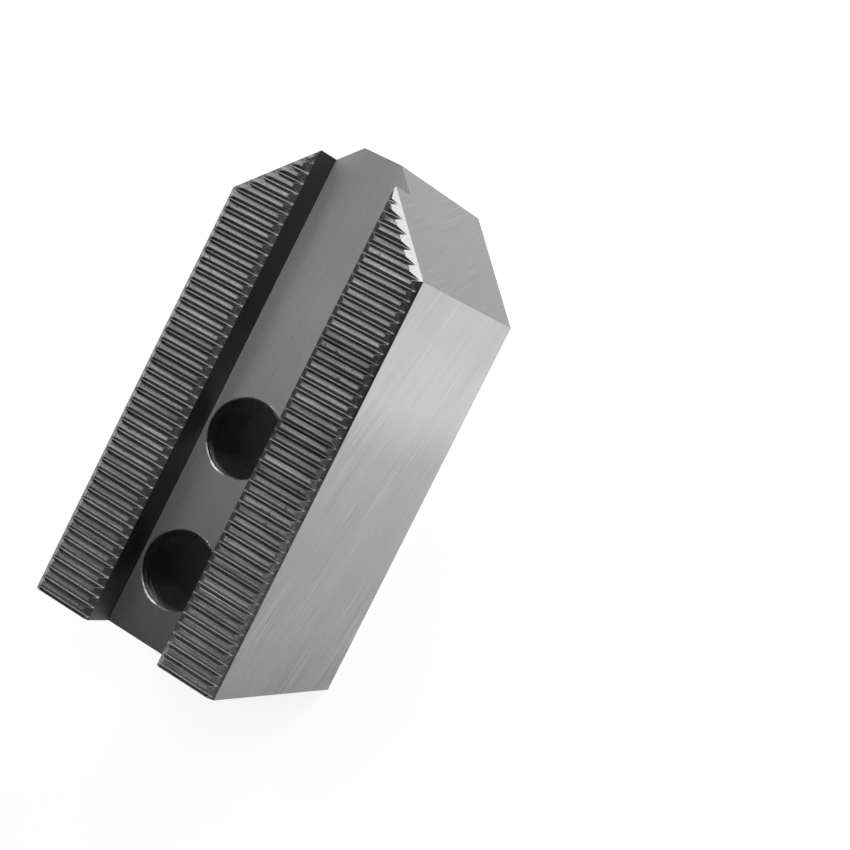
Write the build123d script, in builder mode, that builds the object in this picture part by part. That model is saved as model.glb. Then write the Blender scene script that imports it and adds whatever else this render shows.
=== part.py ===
from build123d import *
import math
import os

# Machinable soft top jaw for a 165 mm power chuck, one piece of mild steel.
# X runs along the jaw with the nose at +X, Y across it, and Z up.
# The jaw stands on its plain clamping face with the serrated mounting face on top.
# The origin is the middle of the clamping face. All sizes are in millimetres.

# Block
jaw_length = 73.0
jaw_width = 31.0
jaw_height = 38.0
nose_flat_width = 6.0
nose_angle = 45.0

# Key slot along the middle of the mounting face
key_slot_width = 12.0
key_slot_depth = 6.0
key_slot_bevel_width = 1.0
key_slot_bevel_depth = 0.8

# Serrations across the mounting face
serration_pitch = 1.5
serration_depth = 0.7
serration_angle = 60.0
serration_root_flat = 0.1
first_root_from_back = 0.45

# Bevels and broken edges of the block
mounting_face_bevel = 1.1
back_edge_break = 0.3
clamping_face_break = 0.3

# Bolt holes, with recesses for the screw heads in the clamping face
bolt_hole_diameter = 11.0
bolt_hole_spacing = 20.0
bolt_hole_from_back = 11.0
bolt_hole_break = 0.15
head_recess_diameter = 17.5
head_seat_below_crests = 16.0
head_recess_chamfer = 0.5

# Places worked out from the sizes
back_x = -jaw_length / 2
nose_x = jaw_length / 2
side_y = jaw_width / 2
nose_flat_y = nose_flat_width / 2
nose_setback = (side_y - nose_flat_y) * math.tan(math.radians(nose_angle))
slot_floor_z = jaw_height - key_slot_depth
head_recess_depth = jaw_height - head_seat_below_crests
bolt_pair_x = back_x + bolt_hole_from_back + bolt_hole_spacing / 2

# One groove is a V with a flat root, and is drawn a little past the crests
groove_overrun = 0.2
groove_half_angle = math.radians(serration_angle / 2)
groove_top_width = serration_root_flat + 2 * (serration_depth + groove_overrun) * math.tan(groove_half_angle)
groove_side_angle = 90 - serration_angle / 2
groove_count = math.floor((jaw_length - first_root_from_back) / serration_pitch) + 1
groove_row_length = (groove_count - 1) * serration_pitch
groove_row_x = back_x + first_root_from_back + groove_row_length / 2

os.makedirs("parts", exist_ok=True)

with BuildPart() as soft_jaw:
    # Bar with its two front corners cut away, which leaves the narrow nose
    with BuildSketch(Plane.XY):
        with BuildLine():
            Polyline(
                (back_x, -side_y),
                (nose_x - nose_setback, -side_y),
                (nose_x, -nose_flat_y),
                (nose_x, nose_flat_y),
                (nose_x - nose_setback, side_y),
                (back_x, side_y),
                close=True,
            )
        make_face()
    extrude(amount=jaw_height)

    # The rim of the mounting face is bevelled, and its back edge only broken
    mounting_rim = soft_jaw.faces().sort_by(Axis.Z)[-1].edges()
    back_rim = mounting_rim.sort_by(Axis.X)[0]
    clamping_rim = soft_jaw.faces().sort_by(Axis.Z)[0].edges()
    chamfer(mounting_rim - [back_rim], length=mounting_face_bevel)
    chamfer(soft_jaw.edges().filter_by(Axis.Y).group_by(Axis.Z)[-1].sort_by(Axis.X)[0], length=back_edge_break)
    chamfer(clamping_rim, length=clamping_face_break)

    # Key slot with its bevelled mouth, milled through the whole length
    with BuildSketch(Plane.YZ.offset(back_x)):
        with Locations((0, jaw_height)):
            Rectangle(key_slot_width, key_slot_depth, align=(Align.CENTER, Align.MAX))
        with BuildLine():
            Polyline(
                (-key_slot_width / 2, jaw_height - key_slot_bevel_depth),
                (-key_slot_width / 2 - key_slot_bevel_width, jaw_height),
                (key_slot_width / 2 + key_slot_bevel_width, jaw_height),
                (key_slot_width / 2, jaw_height - key_slot_bevel_depth),
                close=True,
            )
        make_face()
    extrude(amount=jaw_length, mode=Mode.SUBTRACT)

    # Serrations, cut straight across both lands
    with BuildSketch(Plane.XZ):
        with Locations((groove_row_x, jaw_height + groove_overrun)):
            with GridLocations(serration_pitch, 0, groove_count, 1):
                Trapezoid(
                    groove_top_width,
                    serration_depth + groove_overrun,
                    groove_side_angle,
                    rotation=180,
                    align=(Align.CENTER, Align.MIN),
                )
    extrude(amount=side_y, both=True, mode=Mode.SUBTRACT)

    # Bolt holes from the slot floor down to the head recesses
    with Locations(Plane(origin=(bolt_pair_x, 0, 0), z_dir=(0, 0, -1))):
        with GridLocations(bolt_hole_spacing, 0, 2, 1):
            CounterBoreHole(
                radius=bolt_hole_diameter / 2,
                counter_bore_radius=head_recess_diameter / 2,
                counter_bore_depth=head_recess_depth,
            )
    hole_rims = soft_jaw.edges().filter_by(GeomType.CIRCLE).group_by(Axis.Z)
    chamfer(hole_rims[-1], length=bolt_hole_break)
    chamfer(hole_rims[0], length=head_recess_chamfer)

soft_jaw.part.label = "soft_jaw"
export_step(soft_jaw.part, "parts/soft_jaw.step")
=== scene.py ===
import math
import random
from dataclasses import dataclass
from functools import partial

import bmesh
import bpy
from mathutils import Matrix, Vector


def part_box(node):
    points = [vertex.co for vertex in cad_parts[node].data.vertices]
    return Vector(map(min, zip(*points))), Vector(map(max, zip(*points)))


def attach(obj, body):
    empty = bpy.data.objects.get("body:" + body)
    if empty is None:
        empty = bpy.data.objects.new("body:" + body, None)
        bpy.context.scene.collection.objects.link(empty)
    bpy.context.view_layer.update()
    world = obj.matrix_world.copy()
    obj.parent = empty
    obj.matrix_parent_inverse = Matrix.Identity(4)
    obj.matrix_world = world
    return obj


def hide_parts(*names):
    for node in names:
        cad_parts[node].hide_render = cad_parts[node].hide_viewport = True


# Looks of a machinable steel soft jaw: ground sides, a milled key slot and sharp serrations.
# Lengths are in millimetres in the finishes and where a name ends in _mm or _MM. Elsewhere they are in
# metres.
MM = 0.001

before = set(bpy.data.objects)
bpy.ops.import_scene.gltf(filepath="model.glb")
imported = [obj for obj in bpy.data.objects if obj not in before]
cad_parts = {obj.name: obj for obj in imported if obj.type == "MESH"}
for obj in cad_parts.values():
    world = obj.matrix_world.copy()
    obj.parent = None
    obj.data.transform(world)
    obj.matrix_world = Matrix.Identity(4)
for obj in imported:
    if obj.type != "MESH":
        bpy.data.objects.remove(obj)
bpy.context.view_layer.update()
NODE = "soft_jaw"
low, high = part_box(NODE)
crest_z = high.z
side_y = high.y
back_x = low.x
nose_x = high.x

# Key slot, and the narrow flat between the two nose chamfers
SLOT_DEPTH = 6.0 * MM
SLOT_HALF = 6.0 * MM
SLOT_BEVEL_WIDTH = 1.0 * MM
NOSE_HALF_MM = 3.0
slot_floor_z = crest_z - SLOT_DEPTH

# On a nose chamfer, x and the distance from the middle plane add up to this sum. A point where they
# fall short of it lies inside the chamfer, at this share of what is missing
CHAMFER_SUM_MM = nose_x / MM + NOSE_HALF_MM
CHAMFER_SHARE = math.sqrt(0.5)

# Serrations, cut across the jaw from the first root near the back end
PITCH_MM = 1.5
GROOVE_DEPTH_MM = 0.7
GROOVE_HALF_ANGLE = math.radians(30)
ROOT_HALF_MM = 0.05
FIRST_ROOT_FROM_BACK_MM = 0.45
FIRST_ROOT_MM = back_x / MM + FIRST_ROOT_FROM_BACK_MM

# Bolt holes
HOLE_PLACES_MM = (-25.5, -5.5)
HOLE_RADIUS_MM = 5.5
HOLE_BREAK_MM = 0.15

# Directions on the block, and how the lines of each cut lean from them
LENGTHWISE = Vector((1, 0, 0))
CROSSWISE = Vector((0, 1, 0))
UPRIGHT = Vector((0, 0, 1))
CHAMFER_FACING = Vector((1, 1, 0)).normalized()
CHAMFER_TO_NOSE = Vector((1, -1, 0)).normalized()
BRUSH_SLANT = math.radians(20)
MILL_LEAN = math.radians(19)
SLOT_SLANT = math.radians(-5)
BRUSHED = LENGTHWISE * math.cos(BRUSH_SLANT) - UPRIGHT * math.sin(BRUSH_SLANT)
MILLED = CHAMFER_TO_NOSE * math.sin(MILL_LEAN) - UPRIGHT * math.cos(MILL_LEAN)
SLOT_CUT = LENGTHWISE * math.cos(SLOT_SLANT) + CROSSWISE * math.sin(SLOT_SLANT)

# Camera as in the photograph
CAMERA_PLACE_MM = (22.08, -100.84, 234.11)
CAMERA_FORWARD = (-0.06628, 0.36047, -0.93041)
CAMERA_UP = (0.89076, 0.44155, 0.10762)
CAMERA_LENS_MM = 71.303
CAMERA_SENSOR_MM = 36.0
CAMERA_CLIP = (0.01, 20.0)

# Each run draws the same random numbers, from this seed
SEED = 7

WHITE = (1, 1, 1, 1)


def in_metres(place_mm):
    return Vector(place_mm) * MM


def add_object(name, data):
    made = bpy.data.objects.new(name, data)
    bpy.context.scene.collection.objects.link(made)
    return made


def finished_mesh(name, bm):
    """A mesh with this name from a bmesh, which is freed."""
    mesh = bpy.data.meshes.new(name)
    bm.to_mesh(mesh)
    bm.free()
    return mesh


def build_camera():
    forward = Vector(CAMERA_FORWARD).normalized()
    right = forward.cross(Vector(CAMERA_UP)).normalized()
    up = right.cross(forward)
    camera_data = bpy.data.cameras.new("camera")
    camera_data.lens = CAMERA_LENS_MM
    camera_data.sensor_width = CAMERA_SENSOR_MM
    camera_data.sensor_fit = "HORIZONTAL"
    camera_data.clip_start, camera_data.clip_end = CAMERA_CLIP
    camera = add_object("camera", camera_data)
    turn = Matrix((right, up, -forward)).transposed().to_4x4()
    camera.matrix_world = Matrix.Translation(in_metres(CAMERA_PLACE_MM)) @ turn
    bpy.context.scene.camera = camera


# The lightest that steel reflects
GREY_MOST = 0.98


class Nodes:
    """A material's node tree, with short calls for the nodes that are needed here."""

    def __init__(self, name):
        self.material = bpy.data.materials.new(name)
        self.material.use_nodes = True
        self.tree = self.material.node_tree
        self.tree.nodes.clear()
        self.output = self.node("ShaderNodeOutputMaterial")

    def node(self, kind, **values):
        made = self.tree.nodes.new(kind)
        for key, value in values.items():
            setattr(made, key, value)
        return made

    def link(self, source, target):
        self.tree.links.new(source, target)

    def put(self, value, target):
        """Links a socket to target, or sets a plain number or vector on it."""
        if isinstance(value, bpy.types.NodeSocket):
            self.link(value, target)
        else:
            target.default_value = value

    def math(self, operation, a, b=0.0, c=0.0):
        made = self.node("ShaderNodeMath", operation=operation)
        for value, target in zip((a, b, c), made.inputs):
            self.put(value, target)
        return made.outputs[0]

    def times(self, a, b):
        return self.math("MULTIPLY", a, b)

    def swung(self, level, pattern, swing):
        """The level, raised and lowered by a share of it as the pattern goes from -1 to 1."""
        return self.times(level, self.math("MULTIPLY_ADD", pattern, swing, 1.0))

    def place_mm(self, mirrored=False):
        """The point on the object in millimetres, folded over its middle plane if mirrored."""
        coordinates = self.node("ShaderNodeTexCoord")
        scaled = self.node("ShaderNodeVectorMath", operation="SCALE")
        self.link(coordinates.outputs["Object"], scaled.inputs[0])
        scaled.inputs["Scale"].default_value = 1 / MM
        if not mirrored:
            return scaled.outputs[0]
        x, y, z = self.axes(scaled.outputs[0])
        return self.joined(x, self.math("ABSOLUTE", y), z)

    def axes(self, vector):
        made = self.node("ShaderNodeSeparateXYZ")
        self.link(vector, made.inputs[0])
        return made.outputs

    def joined(self, *parts):
        made = self.node("ShaderNodeCombineXYZ")
        for value, target in zip(parts, made.inputs):
            self.link(value, target)
        return made.outputs[0]

    def streaked(self, vector, along, facing, length_mm, width_mm):
        """Coordinates in which noise of size 1 becomes streaks of this length and width on a face."""
        across = facing.cross(along)
        turned = self.node("ShaderNodeMapping")
        self.link(vector, turned.inputs["Vector"])
        turned.inputs["Rotation"].default_value = Matrix((along, across, facing)).to_euler("XYZ")
        stretched = self.node("ShaderNodeVectorMath", operation="MULTIPLY")
        self.link(turned.outputs[0], stretched.inputs[0])
        stretched.inputs[1].default_value = (1 / length_mm, 1 / width_mm, 1 / width_mm)
        return stretched.outputs[0]

    def noise(self, vector, scale=1.0, detail=3.0, roughness=0.5):
        made = self.node("ShaderNodeTexNoise", noise_dimensions="3D")
        self.link(vector, made.inputs["Vector"])
        made.inputs["Scale"].default_value = scale
        made.inputs["Detail"].default_value = detail
        made.inputs["Roughness"].default_value = roughness
        return made.outputs["Fac"]

    def remap(self, value, low_in, high_in, low_out=0.0, high_out=1.0, smooth=False):
        made = self.node("ShaderNodeMapRange")
        made.interpolation_type = "SMOOTHSTEP" if smooth else "LINEAR"
        self.put(value, made.inputs["Value"])
        made.inputs["From Min"].default_value = low_in
        made.inputs["From Max"].default_value = high_in
        made.inputs["To Min"].default_value = low_out
        made.inputs["To Max"].default_value = high_out
        return made.outputs["Result"]

    def profile(self, value, points):
        """A number that follows straight lines between (place, number) points."""
        level = points[0][1]
        for (x0, y0), (x1, y1) in zip(points, points[1:]):
            level = self.math("ADD", level, self.remap(value, x0, x1, 0.0, y1 - y0))
        return level

    def grey(self, value):
        """A grey colour from a number, kept from reflecting more light than falls on it."""
        level = self.math("MINIMUM", value, GREY_MOST)
        made = self.node("ShaderNodeCombineColor")
        for channel in ("Red", "Green", "Blue"):
            self.put(level, made.inputs[channel])
        return made.outputs[0]

    def raised(self, height, distance_mm):
        """The normal of a surface that stands up by this distance where the height is 1."""
        made = self.node("ShaderNodeBump")
        made.inputs["Strength"].default_value = 1.0
        made.inputs["Distance"].default_value = distance_mm * MM
        self.link(height, made.inputs["Height"])
        return made.outputs["Normal"]

    def direction(self, vector):
        """A direction that is fixed to the object."""
        made = self.node("ShaderNodeVectorTransform", vector_type="VECTOR",
                         convert_from="OBJECT", convert_to="WORLD")
        made.inputs[0].default_value = vector
        return made.outputs[0]


@dataclass
class Finish:
    """How one kind of face was cut, and how it looks.

    along is the direction of the lines of its cut, and facing is the way that it faces. streaks, marks
    and patches are (length, width, swing): the fine lines of the cut, single strokes, and broad clouds,
    with how far each swings the tone. grain and pits are (size, swing). bump is the height of the
    lines.

    The profiles are rows of (place, factor) points. Most of them scale the tone: lengthwise along the
    jaw, sideways out from its middle plane, upward up it, across_tooth across one serration, near_side
    along the jaw on its near half only, and far_end inwards from the far outline. On several finishes
    these tone profiles are painted light and shade, as noted there. worn and worn_upward scale the
    lines and strokes instead, along the jaw and up it.

    tooth_swing is how much the serrations differ from each other, and burr is how much brighter each
    burr is painted where the serrations run out, a painted highlight. mirrored makes both sides of the
    jaw alike.
    """

    tone: float
    roughness: float
    along: Vector
    facing: Vector
    streaks: tuple = (20.0, 0.3, 0.05)
    marks: tuple = ()
    patches: tuple = ()
    grain: tuple = ()
    pits: tuple = ()
    bump: float = 0.0
    anisotropy: float = 0.0
    lengthwise: tuple = ()
    sideways: tuple = ()
    upward: tuple = ()
    across_tooth: tuple = ()
    near_side: tuple = ()
    far_end: tuple = ()
    worn: tuple = ()
    worn_upward: tuple = ()
    tooth_swing: float = 0.0
    # burr: how much brighter the burrs are painted, a painted highlight
    burr: float = 0.0
    mirrored: bool = False


# Painted light and shade: light and dark bars that carry the serrations' lit crests and shaded grooves
# on over the far bevels
PAINTED_BARS = ((0.0, 0.4), (0.1, 0.4), (0.2, 0.15), (0.4, 0.2), (0.55, 0.9), (0.75, 1.0), (1.05, 0.6),
        (1.15, 0.2), (1.35, 0.15), (1.48, 0.4))

# The drill rings in both bores are deepest on their side towards the back
RINGS = ((-31.0, 1.3), (-26.5, 0.4), (-20.0, 0.4), (-11.0, 1.3), (-6.5, 0.4), (0.0, 0.4))

# The flanks of the serrations get darker towards the nose
FLANKS = ((-36.5, 1.25), (-26.0, 1.2), (-16.0, 1.0), (0.0, 0.88), (24.0, 0.84))

# The near land is darker than the far one towards the nose
NEAR_LAND = ((-26.0, 1.02), (-16.0, 0.97), (2.0, 0.87), (12.0, 0.9), (24.0, 0.92))

# What both flanks of a serration have in common, and what the bevels that run along the jaw have
FLANK = dict(roughness=0.3, along=CROSSWISE, facing=UPRIGHT, streaks=(2.5, 0.15, 0.25), bump=0.004,
             lengthwise=FLANKS, near_side=NEAR_LAND, tooth_swing=0.1)
LONG_BEVEL = dict(along=LENGTHWISE, facing=UPRIGHT, streaks=(3.0, 0.3, 0.1), bump=0.003)

FINISHES = {
    # The side's lengthwise tone is painted shade: it darkens towards the back end as if less light fell
    # there.
    "side": Finish(tone=0.60, roughness=0.32, along=BRUSHED, facing=CROSSWISE,
                   streaks=(10.0, 0.26, 0.05), marks=(11.0, 0.24, 0.15), patches=(25.0, 8.0, 0.03),
                   grain=(0.3, 0.025), bump=0.004, anisotropy=0.5,
                   lengthwise=((-36.5, 0.40), (-26, 0.53), (-15, 0.58), (0, 0.69), (8, 0.95),
                               (14, 0.95), (19, 0.89), (24, 0.88)),
                   upward=((18, 1.0), (36.9, 0.94)),
                   worn=((-36.5, 2.3), (-26, 2.3), (-15, 1.6), (8, 1.0))),
    "under": Finish(tone=0.5, roughness=0.32, along=LENGTHWISE, facing=UPRIGHT, bump=0.004),
    "nose_chamfer": Finish(tone=0.25, roughness=0.32, along=MILLED, facing=CHAMFER_FACING,
                           streaks=(18.0, 0.22, 0.016), marks=(12.0, 0.3, 0.1),
                           patches=(14.0, 5.0, 0.02), bump=0.003, mirrored=True),
    # On the crests, across_tooth is painted shading: each crest is brightest a little ahead of its back
    # edge and darkens towards its nose side.
    "crest": Finish(tone=0.56, roughness=0.35, along=CROSSWISE, facing=UPRIGHT,
                    streaks=(6.0, 0.2, 0.45), patches=(6.0, 6.0, 0.1), grain=(0.25, 0.22),
                    pits=(0.6, 0.6), bump=0.004, anisotropy=0.4,
                    sideways=((6.9, 0.5), (7.5, 1.0), (14.3, 1.0), (14.7, 0.6)),
                    across_tooth=((0.45, 0.55), (0.62, 1.02), (0.70, 1.06), (0.80, 0.92),
                                  (0.92, 0.76), (1.02, 0.58), (1.10, 0.42)),
                    near_side=NEAR_LAND, tooth_swing=0.15),
    # The roots' tone, far above the crests', is a painted highlight that makes the thin line of light
    # along each root bright.
    "root": Finish(tone=0.97, roughness=0.3, along=CROSSWISE, facing=UPRIGHT,
                   streaks=(3.0, 0.3, 0.45), near_side=NEAR_LAND, tooth_swing=0.4),
    # The flank that faces the nose has three times the tone of the one that faces the back: lit and
    # shaded copies of one cut, painted light and shade. upward also paints a highlight on both flanks
    # just above the root, which widens the root's line of light.
    "back_flank": Finish(tone=0.17, **FLANK, upward=((37.3, 3.0), (37.37, 1.0))),
    "nose_flank": Finish(tone=0.50, **FLANK,
                         upward=((37.3, 1.9), (37.44, 1.0), (37.6, 1.05), (37.95, 1.6)),
                         far_end=((0.4, 0.38), (1.0, 0.5), (1.7, 1.0))),
    # The outer bevel's lengthwise tone is painted reflection and shade: it is far lighter towards the
    # back end and dark towards the nose. burr paints highlights on it where the serrations run out.
    "outer_bevel": Finish(tone=0.22, roughness=0.3, **LONG_BEVEL, grain=(0.4, 0.4),
                          lengthwise=((-36.5, 2.3), (-12, 2.3), (5, 0.85)),
                          upward=((36.9, 0.55), (37.5, 1.5)), burr=2.3),
    # On the far bevels, across_tooth paints the bars of light and shade, and upward darkens the strip
    # below the grooves, painted shade.
    "far_bevel": Finish(tone=0.21, roughness=0.3, **LONG_BEVEL, grain=(0.3, 0.1),
                        lengthwise=((-36.5, 0.8), (-12, 0.95), (20, 1.5)),
                        upward=((37.1, 0.5), (37.5, 1.0)), across_tooth=PAINTED_BARS),
    "far_nose_bevel": Finish(tone=0.27, roughness=0.3, along=CROSSWISE, facing=UPRIGHT,
                             streaks=(3.0, 0.3, 0.15), grain=(0.3, 0.15), bump=0.003,
                             across_tooth=PAINTED_BARS),
    "nose_bevel": Finish(tone=0.5, roughness=0.3, along=CROSSWISE, facing=UPRIGHT,
                         streaks=(3.0, 0.3, 0.08), grain=(0.3, 0.06), bump=0.003),
    # The slot bevel on the near land has nearly twice the tone of the one on the far land: lit and
    # shaded copies of one cut, painted light and shade. burr paints highlights on both where the
    # serrations run out.
    "slot_bevel": Finish(tone=0.33, roughness=0.45, **LONG_BEVEL, grain=(0.3, 0.35),
                         upward=((37.2, 0.75), (37.8, 1.1)), burr=2.0),
    "far_slot_bevel": Finish(tone=0.18, roughness=0.45, **LONG_BEVEL, grain=(0.3, 0.4), burr=3.5),
    # The slot floor's lengthwise tone is painted shade, darker towards the back end. sideways is
    # painted light: it lightens the floor towards the walls, against their shade and dark reflection.
    "slot_floor": Finish(tone=0.74, roughness=0.66, along=SLOT_CUT, facing=UPRIGHT,
                         streaks=(5.0, 0.2, 0.04), marks=(8.0, 0.25, 0.06),
                         patches=(20.0, 4.0, 0.03), grain=(0.3, 0.03), bump=0.003,
                         lengthwise=((-36.5, 0.39), (-19, 0.69), (0, 0.92), (14, 1.02),
                                     (36.5, 0.88)),
                         sideways=((2.0, 0.95), (3.4, 1.0), (5.9, 1.13)),
                         worn=((-36.5, 2.4), (-15, 1.4), (10, 0.9))),
    # The slot walls' low tone is painted shade, and lengthwise lightens and darkens them along the jaw,
    # painted light and shade that evens out what they reflect.
    "slot_wall": Finish(tone=0.11, roughness=0.6, along=LENGTHWISE, facing=CROSSWISE,
                        streaks=(10.0, 0.25, 0.08), bump=0.002,
                        lengthwise=((-36.5, 1.6), (-28, 0.72), (-15, 0.75), (-5, 1.3), (3, 0.75),
                                    (10, 0.48), (24, 0.76), (36.5, 0.95))),
    "bore": Finish(tone=0.95, roughness=0.32, along=UPRIGHT, facing=CROSSWISE,
                   streaks=(0.5, 6.0, 0.4), bump=0.2,
                   sideways=((2.5, 1.0), (4.6, 0.4)),
                   upward=((27.5, 1.2), (29.5, 0.85), (30.9, 0.95), (31.7, 0.5)),
                   worn=RINGS, worn_upward=((27.5, 0.04), (29.5, 0.4), (31.5, 1.0))),
    # The rims' high tone is a painted highlight that makes their glints near-white, and sideways is
    # painted shade: it darkens them at the sides of each hole, so that they shine only towards the back
    # and the nose.
    "rim": Finish(tone=0.95, roughness=0.3, along=LENGTHWISE, facing=UPRIGHT,
                  streaks=(0.5, 0.5, 0.3), bump=0.01, sideways=((3.8, 1.0), (5.2, 0.35))),
    "end": Finish(tone=0.45, roughness=0.35, along=CROSSWISE, facing=LENGTHWISE,
                  streaks=(16.0, 0.35, 0.06), marks=(16.0, 0.6, 0.08), bump=0.004),
    "edge": Finish(tone=0.6, roughness=0.25, along=LENGTHWISE, facing=UPRIGHT,
                   streaks=(20.0, 0.15, 0.03)),
}
FINISH_ORDER = list(FINISHES)

# Nearly all noise lies in its span. The other pairs are levels of noise: where strokes, groups of
# strokes and pits begin, and where they are full
NOISE_SPAN = (0.3, 0.7)
LIGHT_STROKES = (0.60, 0.70)
DARK_STROKES = (0.40, 0.30)
STROKE_GROUPS = (0.4, 0.6)
PITS = (0.76, 0.82)

# Strokes: how strong they are between their groups, and how many strokes wide a group is
MARKS_APART = 0.25
GROUP_WIDTHS = 12

# The tones across a serration and out from the middle plane waver: the length and width of the waves,
# and how far they shift each
WAVE_SIZE_MM = (1.2, 0.5)
CREST_WAVE_MM = 0.05
END_WAVE_MM = 0.4

# Painted highlights on the burrs along the serrations: the noise that their width follows, their soft
# edge in shares of that width, and their height
BURR_HIGHLIGHT_SCALE = 3.0
BURR_HIGHLIGHT_SPAN = (0.35, 0.65)
BURR_HIGHLIGHT_WIDTHS_MM = (0.03, 0.16)
BURR_HIGHLIGHT_EDGE = (1.0, 0.6)
BURR_HIGHLIGHT_HEIGHT_MM = 0.4

# Each serration is counted from this far behind its root
TOOTH_SHIFT_MM = 0.2

# How far the roughness follows the lines of a cut
ROUGH_SWING = 0.04


def centred_noise(nodes, vector, detail=2.0, roughness=0.5):
    """Noise between about -1 and 1."""
    return nodes.remap(nodes.noise(vector, detail=detail, roughness=roughness), *NOISE_SPAN, -1.0, 1.0)


def sparse_marks(nodes, vector, groups):
    """Single light strokes (1) and dark ones (-1) on a plain ground (0), most of them in groups."""
    strokes = nodes.noise(vector, detail=1.0, roughness=0.4)
    light = nodes.remap(strokes, *LIGHT_STROKES, smooth=True)
    dark = nodes.remap(strokes, *DARK_STROKES, smooth=True)
    grouped = nodes.noise(groups, detail=1.0)
    share = nodes.remap(grouped, *STROKE_GROUPS, MARKS_APART, 1.0, smooth=True)
    return nodes.times(nodes.math("SUBTRACT", light, dark), share)


def tooth_number(nodes, x, y):
    """A random number between -1 and 1 for each serration of each land."""
    from_first = nodes.math("ADD", x, TOOTH_SHIFT_MM - FIRST_ROOT_MM)
    number = nodes.math("FLOOR", nodes.math("DIVIDE", from_first, PITCH_MM))
    chance = nodes.node("ShaderNodeTexWhiteNoise", noise_dimensions="2D")
    nodes.link(nodes.joined(number, nodes.math("SIGN", y)), chance.inputs["Vector"])
    return nodes.math("MULTIPLY_ADD", chance.outputs["Value"], 2.0, -1.0)


def burr_highlights(nodes, place, x, z):
    """A painted highlight: 1 on the thin burr where a serration runs out on a bevel, which is painted
    bright, and 0 away from it.
    """
    from_root = nodes.math("FLOORED_MODULO", nodes.math("SUBTRACT", x, FIRST_ROOT_MM), PITCH_MM)
    nearest = nodes.math("MINIMUM", from_root, nodes.math("SUBTRACT", PITCH_MM, from_root))
    height = nodes.math("SUBTRACT", z, crest_z / MM - GROOVE_DEPTH_MM)
    groove_half = nodes.math("MULTIPLY_ADD", height, math.tan(GROOVE_HALF_ANGLE), ROOT_HALF_MM)
    from_groove = nodes.math("SUBTRACT", nearest, groove_half)
    width = nodes.remap(nodes.noise(place, scale=BURR_HIGHLIGHT_SCALE), *BURR_HIGHLIGHT_SPAN, *BURR_HIGHLIGHT_WIDTHS_MM)
    near = nodes.remap(nodes.math("DIVIDE", from_groove, width), *BURR_HIGHLIGHT_EDGE, smooth=True)
    return nodes.times(near, nodes.remap(height, BURR_HIGHLIGHT_HEIGHT_MM, 0.0))


def wavering(nodes, place):
    """Coordinates in which noise of size 1 wavers along a serration."""
    return nodes.streaked(place, CROSSWISE, UPRIGHT, *WAVE_SIZE_MM)


def slow_tone(nodes, finish, place, x, y, z):
    """The tone of a finish with its slow changes over the jaw and across each serration, which on
    several finishes are painted light and shade.
    """
    level = finish.tone
    if finish.lengthwise:
        level = nodes.times(level, nodes.profile(x, finish.lengthwise))
    if finish.sideways:
        wave = nodes.noise(wavering(nodes, place))
        outward = nodes.math("MULTIPLY_ADD", wave, END_WAVE_MM, nodes.math("ABSOLUTE", y))
        level = nodes.times(level, nodes.profile(outward, finish.sideways))
    if finish.upward:
        level = nodes.times(level, nodes.profile(z, finish.upward))
    if finish.near_side:
        near = nodes.math("LESS_THAN", y, 0.0)
        change = nodes.math("SUBTRACT", nodes.profile(x, finish.near_side), 1.0)
        level = nodes.swung(level, near, change)
    if finish.far_end:
        from_side = nodes.math("SUBTRACT", side_y / MM, y)
        from_chamfer = nodes.math("SUBTRACT", CHAMFER_SUM_MM, nodes.math("ADD", x, y))
        from_chamfer = nodes.times(from_chamfer, CHAMFER_SHARE)
        inward = nodes.math("MINIMUM", from_side, from_chamfer)
        level = nodes.times(level, nodes.profile(inward, finish.far_end))
    if finish.across_tooth:
        wave = centred_noise(nodes, wavering(nodes, place))
        from_first = nodes.math("SUBTRACT", x, FIRST_ROOT_MM)
        waved = nodes.math("MULTIPLY_ADD", wave, CREST_WAVE_MM, from_first)
        from_root = nodes.math("FLOORED_MODULO", waved, PITCH_MM)
        level = nodes.times(level, nodes.profile(from_root, finish.across_tooth))
    return level


def wear(nodes, finish, x, z):
    """How much the lines and strokes of the cut stand out at a place."""
    share = 1.0
    if finish.worn:
        share = nodes.profile(x, finish.worn)
    if finish.worn_upward:
        share = nodes.times(share, nodes.profile(z, finish.worn_upward))
    return share


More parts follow.
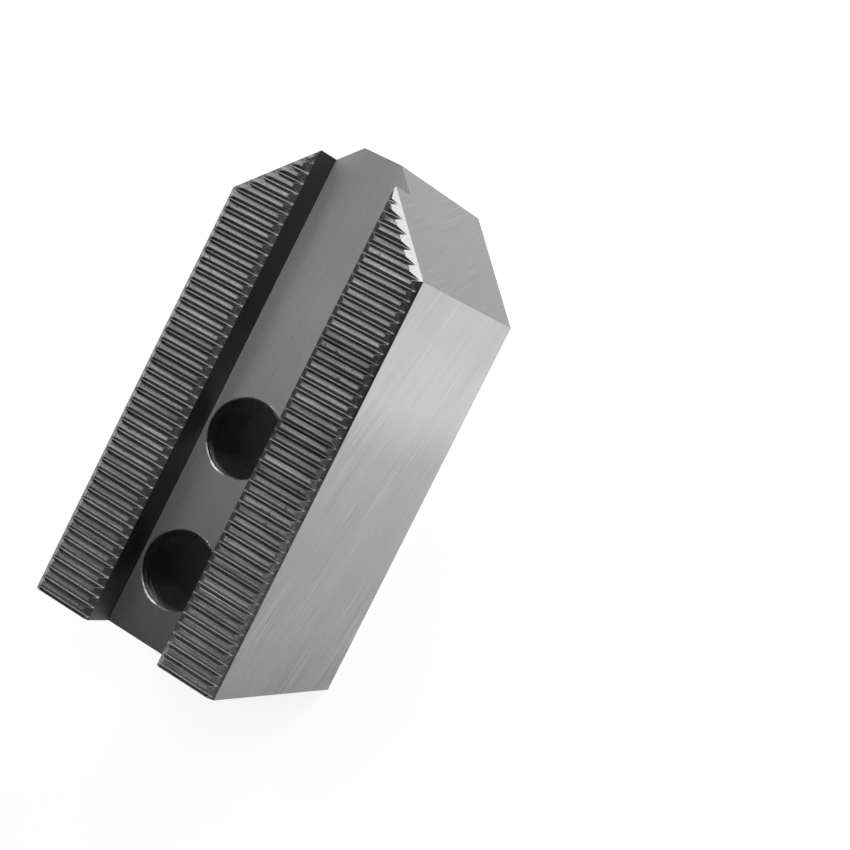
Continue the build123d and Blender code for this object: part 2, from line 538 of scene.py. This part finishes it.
def steel(name, finish):
    """Bare steel with one finish: its slow tones with their painted light and shade, its cut, its
    grain, and the traces of serrations.
    """
    nodes = Nodes(name)
    place = nodes.place_mm(finish.mirrored)
    on_face = partial(nodes.streaked, place, finish.along, finish.facing)
    x, y, z = nodes.axes(nodes.place_mm())
    worn = wear(nodes, finish, x, z)
    length, width, swing = finish.streaks
    lines = centred_noise(nodes, on_face(length, width), detail=3.0, roughness=0.6)
    lines = nodes.times(lines, worn)
    level = nodes.swung(slow_tone(nodes, finish, place, x, y, z), lines, swing)
    height = lines
    if finish.marks:
        length, width, swing = finish.marks
        strokes = sparse_marks(nodes, on_face(length, width), on_face(length, GROUP_WIDTHS * width))
        strokes = nodes.times(strokes, worn)
        level = nodes.swung(level, strokes, swing)
        height = nodes.math("ADD", height, strokes)
    if finish.patches:
        length, width, swing = finish.patches
        level = nodes.swung(level, centred_noise(nodes, on_face(length, width)), swing)
    if finish.grain:
        size, swing = finish.grain
        level = nodes.swung(level, centred_noise(nodes, on_face(size, size)), swing)
    if finish.pits:
        size, swing = finish.pits
        spots = nodes.remap(nodes.noise(on_face(size, size), detail=0.0), *PITS, smooth=True)
        level = nodes.swung(level, spots, -swing)
    if finish.tooth_swing:
        level = nodes.swung(level, tooth_number(nodes, x, y), finish.tooth_swing)
    # Painted highlight on the burrs where the serrations run out
    if finish.burr:
        level = nodes.swung(level, burr_highlights(nodes, place, x, z), finish.burr)

    shader = nodes.node("ShaderNodeBsdfPrincipled")
    shader.inputs["Metallic"].default_value = 1.0
    nodes.link(nodes.grey(level), shader.inputs["Base Color"])
    rough = nodes.math("MULTIPLY_ADD", lines, ROUGH_SWING, finish.roughness)
    nodes.link(rough, shader.inputs["Roughness"])
    if finish.bump:
        nodes.link(nodes.raised(height, finish.bump), shader.inputs["Normal"])
    if finish.anisotropy:
        shader.inputs["Anisotropic"].default_value = finish.anisotropy
        across = nodes.direction(finish.facing.cross(finish.along))
        nodes.link(across, shader.inputs["Tangent"])
    nodes.link(shader.outputs[0], nodes.output.inputs["Surface"])
    return nodes.material


# Faces are told apart by the parts of their normals.
# A face that is square to an axis has more than this along it
FACING = 0.99
# A flank has more than this lengthwise
FLANK_FACING = 0.8
# A flank or a bevel has more than this upward
LEAST_UPWARD = 0.4
# The broken rim of a hole has more than this upward
RIM_UPWARD = 0.3
# A bevel along the jaw has less than this lengthwise
MOST_LENGTHWISE = 0.1
# On a nose chamfer two parts differ by less than this, and the upward one is smaller than this
ALIKE = 0.01

# They are also told apart by their middles.
# A face lies in a plane of the block if it is nearer to it than this
NEAR = 0.5 * MM
# Serrations and bevels reach less than this below the crests
LAND_REACH = 1.5 * MM
# Bores and head recesses are nearer to the middle plane than this, and behind this x
BORES_HALF_WIDTH = 9.0 * MM
BORES_END_X = 5.0 * MM


def finish_of(normal, centre):
    """The finish of a flat or curved face of the block, from where it is and how it faces."""
    on_land = centre.z > crest_z - LAND_REACH
    if normal.z > FACING:
        if centre.z > crest_z - NEAR:
            return "crest"
        return "root" if on_land else "slot_floor"
    if on_land and normal.z > LEAST_UPWARD:
        if abs(normal.x) > FLANK_FACING:
            return "nose_flank" if normal.x > 0 else "back_flank"
        straight = abs(normal.x) < MOST_LENGTHWISE
        if straight and abs(centre.y) < SLOT_HALF + SLOT_BEVEL_WIDTH:
            return "slot_bevel" if normal.y > 0 else "far_slot_bevel"
        if normal.y > 0:
            return "far_bevel" if straight else "far_nose_bevel"
        return "outer_bevel" if straight else "nose_bevel"
    if abs(normal.y) > FACING:
        if abs(centre.y) > side_y - NEAR:
            return "side"
        if centre.z > slot_floor_z and abs(centre.y) < SLOT_HALF + NEAR:
            return "slot_wall"
    if abs(normal.x) > FACING and (centre.x > nose_x - NEAR or centre.x < back_x + NEAR):
        return "end"
    if normal.z < -FACING and centre.z < NEAR:
        return "under"
    if centre.x < BORES_END_X and abs(centre.y) < BORES_HALF_WIDTH:
        return "rim" if normal.z > RIM_UPWARD and centre.z > slot_floor_z - NEAR else "bore"
    if centre.x > BORES_END_X and abs(abs(normal.x) - abs(normal.y)) < ALIKE and abs(normal.z) < ALIKE:
        return "nose_chamfer"
    return "edge"


# Corners that are nearer than this are one, and faces that turn less than this are one flat face
WELD_DISTANCE = 0.04 * MM
FLAT_ANGLE = math.radians(1)

# Edges that turn more than this are rounded in steps, each kind this far back from its corner
EDGE_ANGLE = math.radians(20)
ROUND_STEPS = 3
EDGE_ROUND = 0.035 * MM
ROOT_ROUND = 0.045 * MM
CREST_BACK_ROUND = 0.05 * MM
CREST_ROUND = 0.09 * MM

# How strongly flat faces keep their even shading beside rounded edges
FLAT_FACE_WEIGHT = 100

# Ragged ends of the crests: in how many steps, and how far down a bevel they reach
RAGGED_STEPS = 4
RAGGED_MOST = 0.16 * MM


def faces_at(edge):
    """The faces at an edge, by the names of their finishes."""
    return {FINISH_ORDER[face.material_index]: face for face in edge.link_faces}


def rounding_of(edge):
    """How far an edge is rounded, from the kinds of faces that meet at it.

    Edges of the far bevels stay sharp. The most rounded ones are on the side of a crest that is
    towards the nose, and where a side meets its bevel.
    """
    faces = faces_at(edge)
    if "far_bevel" in faces or "far_nose_bevel" in faces:
        return 0.0
    kinds = {name.split("_")[-1] for name in faces}
    if kinds == {"root", "flank"}:
        return ROOT_ROUND
    if kinds == {"crest", "flank"}:
        middle = sum(vertex.co.x for vertex in edge.verts) / 2
        towards_nose = faces["crest"].calc_center_median().x < middle
        return CREST_ROUND if towards_nose else CREST_BACK_ROUND
    if kinds == {"side", "bevel"}:
        return CREST_ROUND
    return EDGE_ROUND


def make_ragged(bm):
    """Breaks the line where each crest ends on a bevel into short steps, a little down the bevel."""
    chance = random.Random(SEED)
    ends = []
    for edge in bm.edges:
        faces = faces_at(edge)
        bevels = [face for name, face in faces.items() if name.endswith("_bevel")]
        if "crest" in faces and bevels:
            ends.append((edge, bevels[0].normal.copy()))
    for edge, facing in ends:
        down = (UPRIGHT.dot(facing) * facing - UPRIGHT).normalized()
        made = bmesh.ops.subdivide_edges(bm, edges=[edge], cuts=RAGGED_STEPS - 1)
        for vertex in made["geom_inner"]:
            if isinstance(vertex, bmesh.types.BMVert):
                vertex.co += down * chance.uniform(0, RAGGED_MOST)


def keep_below_crests(block):
    """Makes the rounded edges part of the mesh, and lowers the points that stand above the crests."""
    view = bpy.context.evaluated_depsgraph_get()
    shaped = bpy.data.meshes.new_from_object(block.evaluated_get(view), preserve_all_data_layers=True,
                                             depsgraph=view)
    for vertex in shaped.vertices:
        vertex.co.z = min(vertex.co.z, crest_z)
    block.modifiers.clear()
    block.data = shaped


def build_block():
    """The block's own faces with rounded edges, one finish for each kind of face."""
    bm = bmesh.new()
    bm.from_mesh(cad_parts[NODE].data)
    bmesh.ops.remove_doubles(bm, verts=bm.verts, dist=WELD_DISTANCE)
    bmesh.ops.dissolve_limit(bm, angle_limit=FLAT_ANGLE, verts=bm.verts, edges=bm.edges)
    for face in bm.faces:
        face.material_index = FINISH_ORDER.index(finish_of(face.normal, face.calc_center_median()))
        face.smooth = True
    make_ragged(bm)
    weight = bm.edges.layers.float.new("bevel_weight_edge")
    for edge in bm.edges:
        if len(edge.link_faces) == 2 and edge.calc_face_angle() > EDGE_ANGLE:
            edge[weight] = rounding_of(edge) / CREST_ROUND
            edge.smooth = edge[weight] > 0
    block = add_object("jaw_steel", finished_mesh("jaw_steel", bm))
    for name, finish in FINISHES.items():
        block.data.materials.append(steel("steel_" + name, finish))
    rounded = block.modifiers.new("rounded_edges", "BEVEL")
    rounded.limit_method = "WEIGHT"
    rounded.width = CREST_ROUND
    rounded.segments = ROUND_STEPS
    rounded.use_clamp_overlap = False
    rounded.loop_slide = True
    weighted = block.modifiers.new("flat_faces", "WEIGHTED_NORMAL")
    weighted.keep_sharp = True
    weighted.weight = FLAT_FACE_WEIGHT
    keep_below_crests(block)
    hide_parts(NODE)
    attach(block, "root")


# The drill left a burr at the mouth of each bolt hole, around these angles, as (angle and spread in
# degrees, growth). Its growth is uneven, between these shares, in this many steps around the hole
MOUTH_BURRS = ((157, 15, 0.8), (190, 8, 0.5), (334, 16, 1.3))
MOUTH_BURR_UNEVEN = (0.5, 1.3)
MOUTH_BURR_STEPS = 144

# Its section for a growth of 1: how high it stands, how far out its top and its foot reach, how deep
# it is sunk in the floor and how thick it is under the broken edge
MOUTH_BURR_RISE_MM = 0.09
MOUTH_BURR_TOP_MM = 0.14
MOUTH_BURR_REACH_MM = 0.2
MOUTH_BURR_SUNK_MM = 0.004
MOUTH_BURR_FOOT_MM = 0.02


def mouth_burr_section(grown):
    """Points around the burr's section, as distances out from the hole's wall and up from the floor."""
    rise = MOUTH_BURR_RISE_MM * grown
    return ((0.0, rise - HOLE_BREAK_MM),
            (HOLE_BREAK_MM + MOUTH_BURR_TOP_MM * grown, rise - MOUTH_BURR_SUNK_MM),
            (HOLE_BREAK_MM + MOUTH_BURR_FOOT_MM + MOUTH_BURR_REACH_MM * grown, -MOUTH_BURR_SUNK_MM),
            (MOUTH_BURR_FOOT_MM, -HOLE_BREAK_MM - MOUTH_BURR_FOOT_MM))


def add_mouth_burrs():
    """The thin uneven burr at the mouth of each bolt hole."""
    chance = random.Random(SEED)
    bm = bmesh.new()
    floor_mm = slot_floor_z / MM
    for hole_x in HOLE_PLACES_MM:
        loops = []
        uneven = 1.0
        for step in range(MOUTH_BURR_STEPS):
            turn = math.tau * step / MOUTH_BURR_STEPS
            uneven = (uneven + chance.uniform(*MOUTH_BURR_UNEVEN)) / 2
            grown = 0.0
            for middle, spread, growth in MOUTH_BURRS:
                away = (math.degrees(turn) - middle) / spread
                grown += growth * math.exp(-away * away) * uneven
            loop = []
            for outward, upward in mouth_burr_section(grown):
                radius = HOLE_RADIUS_MM + outward
                spot = (hole_x + radius * math.cos(turn), radius * math.sin(turn), floor_mm + upward)
                loop.append(bm.verts.new(in_metres(spot)))
            loops.append(loop)
        for loop, after in zip(loops, loops[1:] + loops[:1]):
            for i in range(len(loop)):
                bm.faces.new((loop[i - 1], loop[i], after[i], after[i - 1]))
    bmesh.ops.recalc_face_normals(bm, faces=bm.faces)
    burrs_piece = add_object("mouth_burrs", finished_mesh("mouth_burrs", bm))
    burrs_piece.data.materials.append(bpy.data.materials["steel_rim"])
    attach(burrs_piece, "root")


# Floor: its size, its white under the lamps, its own white where it is seen, and how far in under the
# jaw's outline that reaches
FLOOR_SIZE = 6.0
FLOOR_ALBEDO = 0.8
FLOOR_SEEN = 0.77
FLOOR_TUCK_MM = 0.6


def build_floor():
    """A plain white floor, whose own white is seen directly and in the metal, but not under the jaw."""
    bm = bmesh.new()
    bmesh.ops.create_grid(bm, x_segments=1, y_segments=1, size=FLOOR_SIZE / 2)
    floor = add_object("floor", finished_mesh("floor", bm))
    nodes = Nodes("floor_white")
    matt = nodes.node("ShaderNodeBsdfDiffuse")
    matt.inputs["Color"].default_value = (FLOOR_ALBEDO, FLOOR_ALBEDO, FLOOR_ALBEDO, 1)
    glow = nodes.node("ShaderNodeEmission")
    glow.inputs["Color"].default_value = WHITE
    ray = nodes.node("ShaderNodeLightPath")
    seen = nodes.math("MAXIMUM", ray.outputs["Is Camera Ray"], ray.outputs["Is Glossy Ray"])
    seen = nodes.math("MAXIMUM", seen, ray.outputs["Is Transmission Ray"])
    x, y = nodes.axes(nodes.place_mm())[:2]
    aside = nodes.math("ABSOLUTE", y)
    past_end = nodes.math("GREATER_THAN", nodes.math("ABSOLUTE", x), nose_x / MM - FLOOR_TUCK_MM)
    past_side = nodes.math("GREATER_THAN", aside, side_y / MM - FLOOR_TUCK_MM)
    chamfer_sum = nodes.math("ADD", x, aside)
    past_chamfer = nodes.math("GREATER_THAN", chamfer_sum, CHAMFER_SUM_MM - FLOOR_TUCK_MM)
    outside = nodes.math("MAXIMUM", nodes.math("MAXIMUM", past_end, past_side), past_chamfer)
    nodes.link(nodes.times(nodes.times(seen, outside), FLOOR_SEEN), glow.inputs["Strength"])
    both = nodes.node("ShaderNodeAddShader")
    nodes.link(matt.outputs[0], both.inputs[0])
    nodes.link(glow.outputs[0], both.inputs[1])
    nodes.link(both.outputs[0], nodes.output.inputs["Surface"])
    floor.data.materials.append(nodes.material)


# Lamps, as (place and size in millimetres, how bright the front looks). All face one point in the jaw
LAMPS = {
    "key": ((230, -140, 110), (160, 110), 2.0),
    "top": ((90, 190, 400), (300, 200), 0.65),
    "front": ((60, -120, 400), (260, 180), 1.5),
    "rim": ((0, 350, 110), (320, 100), 0.4),
    "nose_side": ((186, 72, 242), (100, 70), 2.2),
    "slot_end": ((300, 30, 105), (90, 60), 2.0),
}
LAMPS_FACE_MM = (0, 0, 30)
WORLD_STRENGTH = 0.1


def add_softbox(name, place_mm, size_mm, radiance):
    """A rectangular lamp. Its power is set from how bright its front looks."""
    lamp_data = bpy.data.lights.new(name, "AREA")
    lamp_data.shape = "RECTANGLE"
    lamp_data.size = size_mm[0] * MM
    lamp_data.size_y = size_mm[1] * MM
    lamp_data.energy = radiance * math.pi * lamp_data.size * lamp_data.size_y
    lamp = add_object(name, lamp_data)
    lamp.location = in_metres(place_mm)
    lamp.rotation_mode = "QUATERNION"
    lamp.rotation_quaternion = (in_metres(LAMPS_FACE_MM) - lamp.location).to_track_quat("-Z", "Y")


def build_lights():
    world = bpy.data.worlds.new("studio")
    world.use_nodes = True
    background = world.node_tree.nodes["Background"]
    background.inputs["Color"].default_value = WHITE
    background.inputs["Strength"].default_value = WORLD_STRENGTH
    bpy.context.scene.world = world
    for name, (place_mm, size_mm, radiance) in LAMPS.items():
        add_softbox(name, place_mm, size_mm, radiance)


build_camera()
build_floor()
build_lights()
build_block()
add_mouth_burrs()
bpy.context.scene.view_settings.view_transform = "Standard"
